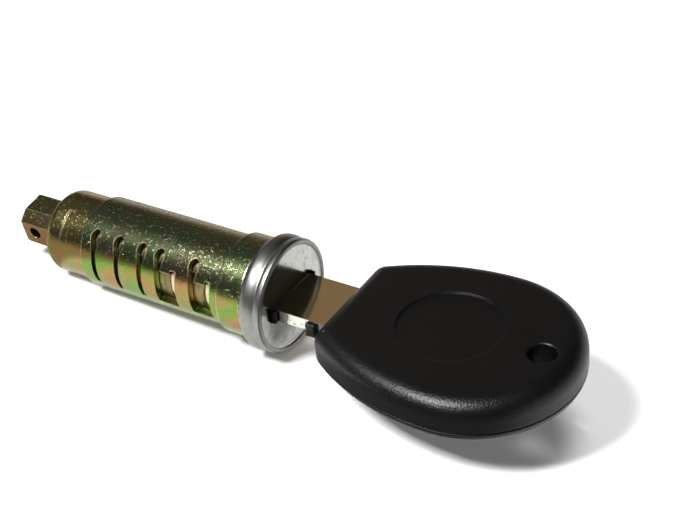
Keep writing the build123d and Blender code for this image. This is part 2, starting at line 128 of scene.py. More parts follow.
def vector_node(tree, operation, a, b=None):
    """One step on vectors. A length or a dot product comes out as a value, the rest as vectors."""
    node = new_node(tree, "ShaderNodeVectorMath", operation.lower(), operation=operation)
    feed(tree, a, node.inputs[0])
    if b is not None:
        feed(tree, b, node.inputs["Scale"] if operation == "SCALE" else node.inputs[1])
    return node.outputs["Value" if operation in ("LENGTH", "DOT_PRODUCT") else "Vector"]


def components(tree, vector):
    """A vector's x, y and z."""
    node = new_node(tree, "ShaderNodeSeparateXYZ", "components")
    feed(tree, vector, node.inputs[0])
    return node.outputs


ARITHMETIC = (math_node, times, vector_node, components)
print("arithmetic:", [helper.__name__ for helper in ARITHMETIC])

# %% Mixes, ramps and noise
def mix_colours(tree, amount, a, b):
    """Colour a turning into colour b as amount goes from 0 to 1."""
    node = new_node(tree, "ShaderNodeMix", "mix", data_type="RGBA")
    for socket, source in zip((node.inputs[0], node.inputs[6], node.inputs[7]), (amount, a, b)):
        feed(tree, source, socket)
    return node.outputs[2]


def mix_values(tree, amount, a, b):
    """Value a turning into value b as amount goes from 0 to 1."""
    node = new_node(tree, "ShaderNodeMix", "blend", data_type="FLOAT")
    for socket, source in zip((node.inputs[0], node.inputs[2], node.inputs[3]), (amount, a, b)):
        feed(tree, source, socket)
    return node.outputs[0]


def ramp(tree, value, stops):
    """A colour ramp through (place, colour) stops."""
    node = new_node(tree, "ShaderNodeValToRGB", "ramp")
    band = node.color_ramp
    while len(band.elements) < len(stops):
        band.elements.new(0.5)
    for element, (place, colour) in zip(band.elements, stops):
        element.position = place
        element.color = (*colour, 1.0)
    feed(tree, value, node.inputs[0])
    return node.outputs[0]


def fade(tree, value, zero_at, one_at):
    """0 beyond one number, 1 beyond the other and smooth between; either may be the larger."""
    node = new_node(tree, "ShaderNodeMapRange", "fade", interpolation_type="SMOOTHSTEP")
    for socket, source in zip(node.inputs, (value, zero_at, one_at)):
        feed(tree, source, socket)
    return node.outputs[0]


def noise(tree, place, scale, detail=2.0, roughness=0.5, distortion=0.0):
    """Noise at a scale given per metre, from 0 to 1."""
    node = new_node(tree, "ShaderNodeTexNoise", "noise")
    feed(tree, place, node.inputs["Vector"])
    node.inputs["Scale"].default_value = scale
    node.inputs["Detail"].default_value = detail
    node.inputs["Roughness"].default_value = roughness
    node.inputs["Distortion"].default_value = distortion
    return node.outputs[0]


def stretched(tree, place, scale, turn=(0.0, 0.0, 0.0)):
    """The place scaled, then turned: a small scale draws the pattern that is read there out."""
    node = new_node(tree, "ShaderNodeMapping", "stretch", vector_type="POINT")
    feed(tree, place, node.inputs["Vector"])
    node.inputs["Rotation"].default_value = [math.radians(degrees) for degrees in turn]
    node.inputs["Scale"].default_value = scale
    return node.outputs[0]


PATTERNS = (mix_colours, mix_values, ramp, fade, noise, stretched)
print("patterns:", [helper.__name__ for helper in PATTERNS])

# %% [markdown]
# ## Effects that several finishes share
# Handling leaves hair scratches, plating and wear show as a fine speckle, castings and mouldings
# have a grain, dust settles in specks, and no real edge is sharp. Each could be wired anew in
# every material. Here each is one node group, built once, with named inputs and outputs, and
# every finish that needs it places it with its own numbers.

# %% Start and place a node group
def new_group(name, inputs, outputs):
    """A node group. Inputs are name: default, None for a vector; outputs are name: kind."""
    group = bpy.data.node_groups.new(name, "ShaderNodeTree")
    for socket_name, value in inputs.items():
        kind = "NodeSocketVector" if value is None else "NodeSocketFloat"
        socket = group.interface.new_socket(socket_name, in_out="INPUT", socket_type=kind)
        if value is not None:
            socket.default_value = value
    for socket_name, kind in outputs.items():
        group.interface.new_socket(socket_name, in_out="OUTPUT", socket_type="NodeSocket" + kind)
    given, made = group.nodes.new("NodeGroupInput"), group.nodes.new("NodeGroupOutput")
    return group, given.outputs, made.inputs


def use_group(tree, group, **values):
    """One placing of a shared effect, with this finish's own values; gives its outputs."""
    node = new_node(tree, "ShaderNodeGroup", group.name)
    node.node_tree = group
    for name, value in values.items():
        feed(tree, value, node.inputs[name])
    return node.outputs


# %% [markdown]
# A scratch is a hair-thin streak, and on this tube most run along it. Round cells that are
# squeezed along the tube become long and thin, and so does the small patch round the middle of
# each. Bending the place first, with a slow noise, keeps the streaks from being ruler-straight.

# %% Hair scratches
WANDER_SCALE, WANDER_REACH = 0.35, 2.2
LENGTHWISE_SQUEEZE, SCRATCH_FADE = 0.13, 0.06
SCRATCH_LAYERS = [  # the cells' own turn in degrees, and how near their middle a scratch starts
    ((0.0, 20.0, 35.0), 0.86),
    ((30.0, -35.0, -15.0), 0.87),
    ((-20.0, 60.0, 70.0), 0.88),
]


def scratch_layer(tree, place, turn, cut):
    """1 where 1 less the distance to the nearest cell's middle passes the cut, in bent cells."""
    wander = new_node(tree, "ShaderNodeTexNoise", "wander")
    wander.inputs["Scale"].default_value = WANDER_SCALE
    feed(tree, place, wander.inputs["Vector"])
    bend = vector_node(tree, "SCALE", wander.outputs["Color"], WANDER_REACH)
    bent = vector_node(tree, "ADD", place, bend)
    cells = new_node(tree, "ShaderNodeTexVoronoi", "cells", feature="F1")
    cells.inputs["Scale"].default_value = 1.0
    squeezed = stretched(tree, bent, (LENGTHWISE_SQUEEZE, 1.0, 1.0), turn)
    feed(tree, squeezed, cells.inputs["Vector"])
    near = math_node(tree, "SUBTRACT", 1.0, cells.outputs["Distance"])
    return fade(tree, near, cut, cut + SCRATCH_FADE)


def make_scratches():
    """The most of three layers of scratches, kept only where a slow noise plus Amount is high."""
    inputs = {"Place": None, "Scale": 2500.0, "Amount": 0.5}
    group, given, made = new_group("Hair scratches", inputs, {"Mask": "Float"})
    place = vector_node(group, "SCALE", given["Place"], given["Scale"])
    first, second, third = (scratch_layer(group, place, *layer) for layer in SCRATCH_LAYERS)
    most = math_node(group, "MAXIMUM", math_node(group, "MAXIMUM", first, second), third)
    patch = math_node(group, "ADD", noise(group, place, 0.08), given["Amount"])
    feed(group, times(group, most, fade(group, patch, 0.85, 1.15)), made["Mask"])
    return group


SCRATCHES = make_scratches()
print(SCRATCHES.name, "has", len(SCRATCHES.nodes), "nodes")

# %% Speckle, grain and dust
FINE_GRAIN_SHARE = 0.35
DUST_SPECK_RADIUS = 0.17


def make_speckle():
    """Two noises: one with broad blotches, one nearly four times finer with sharper points."""
    inputs = {"Place": None, "Scale": 3000.0}
    group, given, made = new_group("Speckle", inputs, {"Coarse": "Float", "Fine": "Float"})
    place = vector_node(group, "SCALE", given["Place"], given["Scale"])
    feed(group, noise(group, place, 0.45, 3.0, 0.6), made["Coarse"])
    feed(group, noise(group, place, 1.6, 2.0, 0.7), made["Fine"])
    return group


def make_grain():
    """Rounded pits and bumps: a noise with a little of a finer one on top."""
    group, given, made = new_group("Grain", {"Place": None, "Scale": 4000.0}, {"Height": "Float"})
    place = vector_node(group, "SCALE", given["Place"], given["Scale"])
    fine = times(group, noise(group, place, 2.7), FINE_GRAIN_SHARE)
    feed(group, math_node(group, "ADD", noise(group, place, 1.0), fine), made["Height"])
    return group


def make_dust():
    """Specks: only the heart of each round cell, and only in a share of the cells."""
    inputs = {"Place": None, "Scale": 900.0, "Amount": 0.12}
    group, given, made = new_group("Dust", inputs, {"Mask": "Float"})
    cells = new_node(group, "ShaderNodeTexVoronoi", "cells", feature="F1")
    cells.inputs["Scale"].default_value = 1.0
    place = vector_node(group, "SCALE", given["Place"], given["Scale"])
    feed(group, place, cells.inputs["Vector"])
    heart = math_node(group, "LESS_THAN", cells.outputs["Distance"], DUST_SPECK_RADIUS)
    lot = new_node(group, "ShaderNodeSeparateColor", "each cell's own lot")
    feed(group, cells.outputs["Color"], lot.inputs[0])
    chosen = math_node(group, "LESS_THAN", lot.outputs[0], given["Amount"])
    feed(group, times(group, heart, chosen), made["Mask"])
    return group


SPECKLE, GRAIN, DUST = make_speckle(), make_grain(), make_dust()
print("fine effects:", [group.name for group in (SPECKLE, GRAIN, DUST)])

# %% [markdown]
# The model's small edges are sharp, and real ones are not: they catch a thin line of light.
# They could be bevelled in the mesh, but the model's mesh is left as it is. A Bevel node rounds
# only the normal, and where that normal departs from the true one there is an edge, so it also
# says where wear belongs.

# %% Rounded edges
def make_rounded_edges():
    """A rounded normal, and a mask that grows as its dot product with the true one falls."""
    outputs = {"Normal": "Vector", "Edges": "Float"}
    group, given, made = new_group("Rounded edges", {"Radius": 0.1 * MM}, outputs)
    bevel = new_node(group, "ShaderNodeBevel", "rounded", samples=6)
    feed(group, given["Radius"], bevel.inputs["Radius"])
    true = new_node(group, "ShaderNodeNewGeometry", "surface").outputs["Normal"]
    agree = vector_node(group, "DOT_PRODUCT", bevel.outputs[0], true)
    feed(group, bevel.outputs[0], made["Normal"])
    feed(group, fade(group, agree, 0.99, 0.90), made["Edges"])
    return group


ROUNDED_EDGES = make_rounded_edges()
print("effects:", [group.name for group in bpy.data.node_groups])

# %% [markdown]
# ## A blank finish
# Every finish starts the same way: a Principled shader that reads the piece's own coordinates,
# which are metres in the lock's frame. A UV map would do too, but these pieces have none, and
# in metres a speckle has the same size on a small piece as on a large one. Numbers that are the
# same all over a surface are set straight on the shader.

# %% Start a finish, give it relief, put it on a piece
def new_finish(name, constants):
    """A material with its shader's constants set, and its own coordinates ready to use."""
    material = bpy.data.materials.new(name)
    material.use_nodes = True
    tree = material.node_tree
    shader = tree.nodes["Principled BSDF"]
    for socket_name, value in constants.items():
        feed(tree, value, shader.inputs[socket_name])
    place = new_node(tree, "ShaderNodeTexCoord", "own coordinates").outputs["Object"]
    return material, tree, shader.inputs, place


def relief(tree, height, depth, strength, normal):
    """Relief of a given depth in metres, laid over another normal."""
    node = new_node(tree, "ShaderNodeBump", "relief")
    node.inputs["Strength"].default_value = strength
    node.inputs["Distance"].default_value = depth
    feed(tree, height, node.inputs["Height"])
    feed(tree, normal, node.inputs["Normal"])
    return node.outputs[0]


finished = {}


def finish_node(name, material):
    """Gives one of the model's pieces its finish."""
    slots = nodes[name].data.materials
    slots.clear()
    slots.append(material)
    finished[name] = material.name


# %% [markdown]
# ## The sleeve's plating
# The tube and the drive lug are steel with yellow passivated zinc: a thin clear film that
# shifts between olive, green, gold and pink. An image of plated steel could be wrapped round
# the tube, but it would show a seam and blur close up. The colours drift slowly, so a wide
# noise, drawn out a little round the tube and read through a colour ramp, does it without.
# On the side that lies uppermost a grey-olive haze covers the film.
# Behind the barrel's rear shoulder the haze turns golden and the film orange.

# %% The film's colours
FILM_STOPS = [
    (0.30, (0.33, 0.15, 0.06)),
    (0.39, (0.33, 0.20, 0.06)),
    (0.46, (0.24, 0.24, 0.05)),
    (0.52, (0.13, 0.28, 0.035)),
    (0.57, (0.21, 0.27, 0.055)),
    (0.64, (0.30, 0.21, 0.075)),
    (0.74, (0.36, 0.22, 0.16)),
]
OLIVE_HAZE, GOLD_HAZE = (0.25, 0.29, 0.17), (0.50, 0.39, 0.12)
ORANGE_FILM, ORANGE_SHARE = (0.36, 0.20, 0.09), 0.45
UPWARDS = (0.0, 0.27, 0.963)
REAR_FROM, REAR_TO = -27.4 * MM, -28.6 * MM
HANDLED_FROM, HANDLED_TO = -0.8 * MM, 1.6 * MM
HAZE_BELOW = 0.06


def uppermost_side(tree, place):
    """1 on the side that lies uppermost: how far the place reaches along a leaning upright."""
    height = vector_node(tree, "DOT_PRODUCT", place, UPWARDS)
    return fade(tree, height, HANDLED_FROM, HANDLED_TO)


def film_colour(tree, place, upper, dulled):
    """The film's bands, more orange at the rear, under a haze that is thickest on the uppermost
    side.
    """
    bands = noise(tree, stretched(tree, place, (1.0, 0.6, 0.6)), 190.0, 2.5, 0.55, 0.9)
    rear = fade(tree, components(tree, place)["X"], REAR_FROM, REAR_TO)
    gold = times(tree, rear, fade(tree, bands, 0.36, 0.56))
    haze = mix_colours(tree, gold, OLIVE_HAZE, GOLD_HAZE)
    film = ramp(tree, bands, FILM_STOPS)
    film = mix_colours(tree, times(tree, rear, ORANGE_SHARE), film, ORANGE_FILM)
    return mix_colours(tree, mix_values(tree, upper, HAZE_BELOW, dulled), film, haze)


print("film colours:", len(FILM_STOPS), "golden behind x =", round(REAR_TO / MM, 1), "mm")

# %% [markdown]
# Bright metal shows through the film where the plating is thin: on the edges of the slots, and
# on the turned shoulders at the collar's ends and at the barrel's rear. Wear could be painted
# by hand, but the shoulders' places along the tube are known and the Bevel node finds the rest.
# Dark spots and pale specks lie mostly on the uppermost side. Scratches, worn edges and pale
# specks are rougher than the film, so they glint from more sides.

# %% The plating as one effect
SHOULDERS_X = (0.12 * MM, 4.6 * MM, -27.88 * MM)
SHOULDER_HALF_WIDTH, SHOULDER_CORE = 0.26 * MM, 0.10 * MM
DARK_SPOT, PALE_SPECK = (0.07, 0.08, 0.05), (0.62, 0.66, 0.44)
SCRATCH_METAL, EDGE_METAL = (0.70, 0.70, 0.55), (0.92, 0.84, 0.55)
SHOULDER_METAL = (0.85, 0.74, 0.52)
SIDE_SHARES = {"dark": (0.25, 0.65), "pale": (0.10, 0.50), "edges": (0.20, 0.95)}
SCRATCH_SHARE, SHOULDER_SHARE = 0.5, 0.6
SPARKLE_ROUGHNESS = 0.42


def worn_shoulders(tree, place):
    """1 close to a shoulder's own X and 0 a quarter of a millimetre off, broken up by noise."""
    x = components(tree, place)["X"]
    worn = 0.0
    for shoulder in SHOULDERS_X:
        off = math_node(tree, "ABSOLUTE", math_node(tree, "SUBTRACT", x, shoulder))
        near = fade(tree, off, SHOULDER_HALF_WIDTH, SHOULDER_CORE)
        worn = math_node(tree, "MAXIMUM", worn, near)
    return times(tree, worn, fade(tree, noise(tree, place, 900.0), 0.30, 0.62))


def make_plating():
    """Film and haze, then spots, specks, scratches and worn edges over them, one by one."""
    inputs = {"Place": None, "Dulled": 0.5, "Edges": 0.0}
    outputs = {"Colour": "Color", "Roughness": "Float", "Height": "Float"}
    group, given, made = new_group("Plating", inputs, outputs)
    place = given["Place"]
    upper = uppermost_side(group, place)
    specks = use_group(group, SPECKLE, Place=place, Scale=4600.0)
    marks = use_group(group, SCRATCHES, Place=place, Scale=3000.0, Amount=0.46)["Mask"]
    share = {name: mix_values(group, upper, *ends) for name, ends in SIDE_SHARES.items()}
    dark = times(group, fade(group, specks["Fine"], 0.50, 0.66), share["dark"])
    pale = times(group, fade(group, specks["Coarse"], 0.56, 0.70), share["pale"])
    edges = times(group, given["Edges"], share["edges"])

    colour = film_colour(group, place, upper, given["Dulled"])
    for amount, paint in [
        (dark, DARK_SPOT),
        (pale, PALE_SPECK),
        (times(group, marks, SCRATCH_SHARE), SCRATCH_METAL),
        (edges, EDGE_METAL),
        (times(group, worn_shoulders(group, place), SHOULDER_SHARE), SHOULDER_METAL),
    ]:
        colour = mix_colours(group, amount, colour, paint)
    feed(group, colour, made["Colour"])

    sparkling = math_node(group, "MAXIMUM", math_node(group, "MAXIMUM", marks, edges), pale)
    smooth = mix_values(group, specks["Coarse"], 0.14, 0.27)
    feed(group, mix_values(group, sparkling, smooth, SPARKLE_ROUGHNESS), made["Roughness"])
    bumps = math_node(group, "ADD", specks["Fine"], times(group, specks["Coarse"], 0.8))
    feed(group, math_node(group, "ADD", bumps, times(group, marks, -0.8)), made["Height"])
    return group


PLATING = make_plating()
print(PLATING.name, "has", len(PLATING.nodes), "nodes")

# %% Finish the sleeve and the lug
PLATED_EDGE, PLATING_DEPTH = 0.23 * MM, 0.020 * MM


def make_plated_steel(name, dulled):
    """Steel under the plating, hazed over as strongly as dulled says."""
    material, tree, shader, place = new_finish(name, {"Metallic": 1.0})
    edge = use_group(tree, ROUNDED_EDGES, Radius=PLATED_EDGE)
    plating = use_group(tree, PLATING, Place=place, Dulled=dulled, Edges=edge["Edges"])
    feed(tree, plating["Colour"], shader["Base Color"])
    feed(tree, plating["Roughness"], shader["Roughness"])
    normal = relief(tree, plating["Height"], PLATING_DEPTH, 0.9, edge["Normal"])
    feed(tree, normal, shader["Normal"])
    return material


finish_node("sleeve", make_plated_steel("plated steel", 0.66))
finish_node("tail_lug", make_plated_steel("plated lug", 0.5))
print("plated:", finished)

# %% [markdown]
# ## The head
# The cap's rolled rim is satin metal, smooth enough for soft streaks of light. Its dished face
# has the mottled skin of a casting. Under the key's slot a dark patch is painted on the face:
# painted shade, where the face mirrors the floor's shadow under the key. The faces could be
# given two materials, but the boundary is a circle round the axis, so one material does both: a
# mask made from the distance to the axis and the place along it tells the face from the rim. The
# slot is rolled a little about the axis, and the key with it, so the painted shade is measured
# along the key's own directions.

# %% The key's roll, the face and the painted shade
KEY_ROLL = math.radians(9.5)
KEY_WIDTHWAYS = (0.0, math.cos(KEY_ROLL), math.sin(KEY_ROLL))
KEY_FLAT_NORMAL = (0.0, -math.sin(KEY_ROLL), math.cos(KEY_ROLL))
BELOW_THE_KEY = tuple(-part for part in KEY_FLAT_NORMAL)
FACE_RADIUS, LIP_RADIUS = 8.35 * MM, 8.5 * MM
FACE_BACK_X, FACE_FRONT_X = 7.6 * MM, 8.2 * MM


def face_mask(tree, place):
    """1 on the dished face: in front of the rim's waist and inside the rim's lip."""
    radius = vector_node(tree, "LENGTH", vector_node(tree, "MULTIPLY", place, (0.0, 1.0, 1.0)))
    inside = fade(tree, radius, LIP_RADIUS, FACE_RADIUS)
    return times(tree, inside, fade(tree, components(tree, place)["X"], FACE_BACK_X, FACE_FRONT_X))


def painted_shade_under_slot(tree, place):
    """1 from 0.8 to 4 mm below the key's middle plane and 5 mm aside, fading out beyond."""
    # painted shade: darkens the face below the slot, where it mirrors the shadowed floor
    below = vector_node(tree, "DOT_PRODUCT", place, BELOW_THE_KEY)
    aside = math_node(tree, "ABSOLUTE", vector_node(tree, "DOT_PRODUCT", place, KEY_WIDTHWAYS))
    started = fade(tree, below, 0.2 * MM, 0.8 * MM)
    under = times(tree, fade(tree, below, 7.4 * MM, 4.0 * MM), started)
    return times(tree, under, fade(tree, aside, 8.2 * MM, 5.0 * MM))


print("key's roll in degrees:", round(math.degrees(KEY_ROLL), 1))

# %% Satin head with a cast face
RIM_DARK, RIM_LIGHT = (0.21, 0.21, 0.20), (0.34, 0.34, 0.325)
CAST_LIGHT, CAST_DARK, CAST_BLOTCH = (0.57, 0.56, 0.53), (0.48, 0.48, 0.45), (0.40, 0.40, 0.37)
# painted shade under the slot: the colour the face is darkened towards, and how far
PAINTED_SHADE, PAINTED_SHADE_SHARE = (0.10, 0.10, 0.09), 0.80
RIM_ROUGHNESS, FACE_ROUGHNESS = 0.36, 0.16
HEAD_EDGE, HEAD_GRAIN_DEPTH, HEAD_GRAIN_SHARE = 0.10 * MM, 0.03 * MM, 0.14


def make_head_metal():
    """Satin rim, mottled face, painted shade under the slot."""
    material, tree, shader, place = new_finish("head metal", {"Metallic": 1.0})
    face = face_mask(tree, place)
    blotch = use_group(tree, SPECKLE, Place=place, Scale=1500.0)
    rim = mix_colours(tree, blotch["Coarse"], RIM_DARK, RIM_LIGHT)
    cast = mix_colours(tree, fade(tree, blotch["Fine"], 0.35, 0.65), CAST_LIGHT, CAST_DARK)
    cast = mix_colours(tree, fade(tree, blotch["Coarse"], 0.50, 0.62), cast, CAST_BLOTCH)
    # painted shade under the key's slot, standing in for the mirrored shadow of the floor
    cast = mix_colours(tree, times(tree, painted_shade_under_slot(tree, place), PAINTED_SHADE_SHARE), cast, PAINTED_SHADE)
    feed(tree, mix_colours(tree, face, rim, cast), shader["Base Color"])
    feed(tree, mix_values(tree, face, RIM_ROUGHNESS, FACE_ROUGHNESS), shader["Roughness"])
    grain = use_group(tree, GRAIN, Place=place, Scale=2300.0)["Height"]
    edge = use_group(tree, ROUNDED_EDGES, Radius=HEAD_EDGE)
    height = times(tree, grain, HEAD_GRAIN_SHARE)
    feed(tree, relief(tree, height, HEAD_GRAIN_DEPTH, 0.8, edge["Normal"]), shader["Normal"])
    return material


finish_node("head_cap", make_head_metal())
print("finished pieces:", len(finished), "of", len(nodes))

# %% [markdown]
# ## Plain metals
# The wafers are stamped brass, the rotor is dull, darkened brass, and pins and springs are plain
# steel. Slivers of the wafers and the rotor show through the slots, and the rest is hidden. Each
# could have its own nodes, but they differ in colour, roughness and depth of grain alone, so one
# function and a table make them all.

# %% Brass and steel
METAL_EDGE, METAL_SPECKLE = 0.08 * MM, 2500.0
METALS = {  # name: light colour, dark colour, roughness from and to, depth of grain
    "wafer brass": ((0.80, 0.66, 0.46), (0.56, 0.42, 0.26), (0.20, 0.40), 0.010 * MM),
    "rotor brass": ((0.30, 0.25, 0.12), (0.16, 0.14, 0.06), (0.30, 0.50), 0.030 * MM),
    "plain steel": ((0.60, 0.60, 0.58), (0.45, 0.45, 0.43), (0.25, 0.40), 0.008 * MM),
    "spring steel": ((0.45, 0.44, 0.42), (0.30, 0.29, 0.27), (0.25, 0.40), 0.006 * MM),
}
METAL_PIECES = {
    "wafer brass": [f"wafer_{number}" for number in range(1, 8)],
    "rotor brass": ["plug"],
    "plain steel": ["clutch_washer", "lug_pin", "shutter", "shutter_pin"],
    "spring steel": ["clutch_spring", "shutter_spring"]
                    + [f"wafer_spring_{number}" for number in range(1, 8)],
}


def make_metal(name, light, dark, roughness, depth):
    """A metal that varies between two colours in blotches, with a fine grain."""
    material, tree, shader, place = new_finish(name, {"Metallic": 1.0})
    blotch = use_group(tree, SPECKLE, Place=place, Scale=METAL_SPECKLE)
    feed(tree, mix_colours(tree, blotch["Coarse"], dark, light), shader["Base Color"])
    feed(tree, mix_values(tree, blotch["Fine"], *roughness), shader["Roughness"])
    edge = use_group(tree, ROUNDED_EDGES, Radius=METAL_EDGE)
    feed(tree, relief(tree, blotch["Fine"], depth, 0.6, edge["Normal"]), shader["Normal"])
    return material


for metal, pieces in METAL_PIECES.items():
    finish = make_metal(metal, *METALS[metal])
    for piece in pieces:
        finish_node(piece, finish)
    print(f"{metal}:", len(pieces), "pieces")

# %% [markdown]
# ## The blade
# The blade's flats have a bronze tone and a smooth, faintly drawn skin. Its edges and cuts are
# ground: bright, pitted metal. Two materials would need the faces sorted by hand. How squarely a
# face looks along the flats' own direction tells the one from the other without that.

# %% Bronze flats, bright ground edges
FLAT_DARK, FLAT_LIGHT = (0.86, 0.72, 0.46), (0.98, 0.86, 0.60)
GROUND_METAL, PIT = (0.72, 0.72, 0.64), (0.14, 0.13, 0.10)
PIT_SHARE = 0.8
BLADE_GRAIN_DEPTH = 0.03 * MM


def make_blade_metal():
    """Bronze-toned plating on the flats, bright mottled metal on the ground edges."""
    material, tree, shader, place = new_finish("blade metal", {"Metallic": 1.0})
    facing = new_node(tree, "ShaderNodeTexCoord", "own coordinates").outputs["Normal"]
    flatness = vector_node(tree, "DOT_PRODUCT", facing, KEY_FLAT_NORMAL)
    ground = fade(tree, math_node(tree, "ABSOLUTE", flatness), 0.8, 0.5)
    lengthwise = stretched(tree, place, (0.3, 1.0, 1.0))
    drawn = use_group(tree, SPECKLE, Place=lengthwise, Scale=3500.0)
    spots = use_group(tree, SPECKLE, Place=place, Scale=1500.0)
    flat = mix_colours(tree, drawn["Fine"], FLAT_DARK, FLAT_LIGHT)
    pits = times(tree, fade(tree, spots["Fine"], 0.56, 0.66), PIT_SHARE)
    edge_colour = mix_colours(tree, pits, GROUND_METAL, PIT)
    feed(tree, mix_colours(tree, ground, flat, edge_colour), shader["Base Color"])
    feed(tree, mix_values(tree, drawn["Coarse"], 0.06, 0.20), shader["Roughness"])
    height = times(tree, spots["Fine"], mix_values(tree, ground, 0.05, 1.0))
    edge = use_group(tree, ROUNDED_EDGES, Radius=METAL_EDGE)
    feed(tree, relief(tree, height, BLADE_GRAIN_DEPTH, 0.6, edge["Normal"]), shader["Normal"])
    return material


finish_node("key_blade", make_blade_metal())
print("finished pieces:", len(finished), "of", len(nodes))

# %% [markdown]
# ## Black plastic
# The bow's shells are moulded with a fine leathery grain that breaks the highlight on their
# shoulders into sparkles. It is finer than a tenth of a millimetre, so relief in the normal is
# enough, and no mesh has to carry it. A few specks of dust sit on the shells. The moulding in
# the head's slot is smoother and has none.

# %% Moulded black plastic
BLACK_DARK, BLACK_LIGHT = (0.0008, 0.0008, 0.0008), (0.0022, 0.0022, 0.0022)
DUST_GREY = (0.11, 0.11, 0.10)
PLASTIC_EDGE = 0.28 * MM
ROUGHNESS_SPREAD = 0.05


def make_black_plastic(name, shine, depth, roughness, dust):
    """Near-black plastic with a moulded grain, uneven gloss and specks of dust."""
    constants = {"Metallic": 0.0, "Specular IOR Level": shine}
    material, tree, shader, place = new_finish(name, constants)
    grain = use_group(tree, GRAIN, Place=place, Scale=3000.0)["Height"]
    specks = use_group(tree, DUST, Place=place, Scale=860.0, Amount=dust)["Mask"]
    plain = mix_colours(tree, grain, BLACK_DARK, BLACK_LIGHT)
    feed(tree, mix_colours(tree, specks, plain, DUST_GREY), shader["Base Color"])
    gloss = noise(tree, place, 260.0, 3.0)
    low, high = roughness - ROUGHNESS_SPREAD, roughness + ROUGHNESS_SPREAD
    feed(tree, mix_values(tree, gloss, low, high), shader["Roughness"])
    edge = use_group(tree, ROUNDED_EDGES, Radius=PLASTIC_EDGE)
    feed(tree, relief(tree, grain, depth, 1.0, edge["Normal"]), shader["Normal"])
    return material


BOW_PLASTIC = make_black_plastic("bow plastic", 0.42, 0.06 * MM, 0.37, 0.010)
finish_node("key_bow_upper", BOW_PLASTIC)
finish_node("key_bow_lower", BOW_PLASTIC)
finish_node("shutter_housing", make_black_plastic("black moulding", 0.2, 0.01 * MM, 0.3, 0.0))
print("finished pieces:", len(finished), "of", len(nodes))

# %% [markdown]
# ## The floor
# The lock lies on its head's rim and its rear end. The head is the fatter of the two, so the
# axis leans a little, and the floor is drawn leaning against it by the same angle.
#
# A white floor would wash out every reflection, so reflections leave it out. They show three
# sheets instead, which lie just over it and are seen in reflections alone: a white one under
# and behind the barrel, a grey one behind the head and the key, a dim card beyond the lug.

# %% A leaning floor and the sheets on it
HEAD_X, HEAD_R = 6.0 * MM, 9.5 * MM
REAR_X, REAR_R = -34.8 * MM, 7.05 * MM
FLOOR_GAP, SHEET_LIFT = 0.06 * MM, 0.01 * MM
FLOOR_HALF, SHEET_END = 3.0, 0.5
SHEETS = {  # name: low corner, high corner and lift, in metres from the touch point
    "floor": ((-FLOOR_HALF, -FLOOR_HALF), (FLOOR_HALF, FLOOR_HALF), 0.0),
    "paper": ((-0.042, -0.045), (0.004, SHEET_END), SHEET_LIFT),
    "paper, right": ((0.004, -0.004), (SHEET_END, SHEET_END), SHEET_LIFT),
    "card": ((-0.3, -0.045), (-0.042, SHEET_END), SHEET_LIFT),
}
lean = math.atan2(HEAD_R - REAR_R, HEAD_X - REAR_X)
floor_normal = Vector((math.sin(lean), 0.0, math.cos(lean)))
touch = Vector((HEAD_X, 0.0, 0.0)) - floor_normal * (HEAD_R + FLOOR_GAP)


def make_sheet(name, low, high, lift):
    """A flat rectangle on the leaning floor: two steps from the touch point, then the lift."""
    flat = np.array([(low[0], low[1]), (high[0], low[1]), (high[0], high[1]), (low[0], high[1])])
    along = Vector((math.cos(lean), 0.0, -math.sin(lean)))
    corners = np.outer(flat[:, 0], along) + np.outer(flat[:, 1], (0.0, 1.0, 0.0))
    corners += np.array(touch + floor_normal * lift)
    mesh = bpy.data.meshes.new(name)
    mesh.from_pydata(corners.tolist(), [], [(0, 1, 2, 3)])
    sheet = bpy.data.objects.new(name, mesh)
    bpy.context.scene.collection.objects.link(sheet)
    sheet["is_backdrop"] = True
    return sheet


sheets = {name: make_sheet(name, *place) for name, place in SHEETS.items()}
for name, sheet in sheets.items():
    if name == "floor":
        sheet.visible_glossy = False
    else:
        sheet.visible_camera = sheet.visible_diffuse = sheet.visible_shadow = False
print("floor leans by", round(math.degrees(lean), 2), "degrees")

# %% [markdown]
# The floor has to be pure white in the picture and still carry a soft shadow. The lock could
# be laid on white afterwards, but then its shadow would be lost. So the floor and the sheets
# have a little light of their own, which only the camera and reflections see, so it fills no
# shadow. Far from the lock the floor's own light grows, and it stays white where the lamps no
# longer reach it, also from a low camera.

# %% White floor that keeps its shadow
GLOW_NEAR, GLOW_FAR = 0.10, 0.60
FLOOR_ROUGHNESS, FLOOR_SHINE = 0.7, 0.1
SHEET_FINISHES = {  # name: material, colour, glow near the lock, glow far off
    "floor": ("white floor", (0.90, 0.90, 0.90), 0.11, 1.15),
    "paper": ("white paper", (0.74, 0.74, 0.74), 0.12, 0.12),
    "paper, right": ("grey paper", (0.30, 0.30, 0.30), 1.95, 1.95),
    "card": ("dim card", (0.34, 0.31, 0.26), 0.1, 0.1),
}


def make_floor_finish(name, colour, glow, far_glow):
    """Matte, with light of its own for the camera and for reflections, which may grow far off."""
    constants = {"Base Color": colour, "Roughness": FLOOR_ROUGHNESS,
                 "Specular IOR Level": FLOOR_SHINE, "Emission Color": colour}
    material, tree, shader, place = new_finish(name, constants)
    ray = new_node(tree, "ShaderNodeLightPath", "ray").outputs
    seen = math_node(tree, "MAXIMUM", ray["Is Camera Ray"], ray["Is Glossy Ray"])
    far = fade(tree, vector_node(tree, "LENGTH", place), GLOW_NEAR, GLOW_FAR)
    strength = mix_values(tree, far, glow, far_glow)
    feed(tree, times(tree, seen, strength), shader["Emission Strength"])
    return material


for name, finish in SHEET_FINISHES.items():
    sheets[name].data.materials.append(make_floor_finish(*finish))
print("sheets:", list(sheets))

